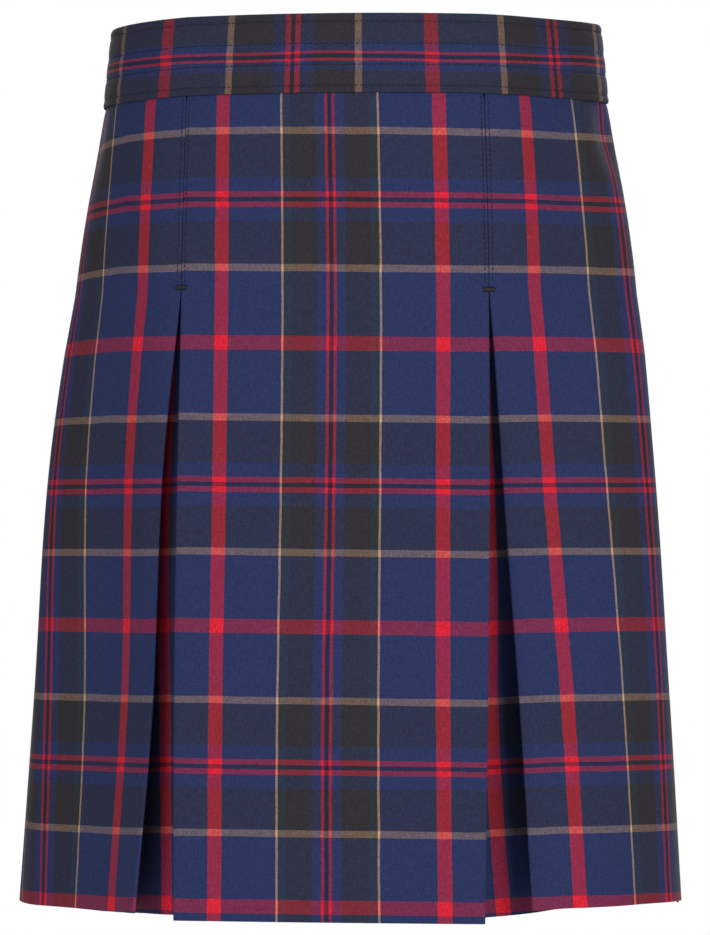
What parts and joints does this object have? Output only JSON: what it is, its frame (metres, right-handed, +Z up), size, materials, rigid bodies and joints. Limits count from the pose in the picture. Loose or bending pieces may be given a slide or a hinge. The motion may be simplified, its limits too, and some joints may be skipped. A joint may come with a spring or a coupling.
{
  "type": "pleated skirt",
  "caption": "A-line school skirt, filled out and open at waist and hem: inverted kick pleats stitched down in front, gathered back, ring-shaped waistband.",
  "frame": {"origin": "middle of the waistband ring at half the band's height, where the wearer's waist holds the skirt", "axes": "+Z up along the wearer, +X to the right of someone facing the front, -Y out of the front"},
  "size_m": [0.3286, 0.2427, 0.4283],
  "materials": {
    "body_cloth": "woven tartan suiting, matt, navy and black with red and tan lines",
    "band_cloth": "the same tartan cut across, in rows of topstitching"
  },
  "bodies": {
    "root": {"skirt_front": "body_cloth", "skirt_back": "body_cloth", "waistband_front": "band_cloth", "waistband_back": "band_cloth"}
  },
  "joints": []
}
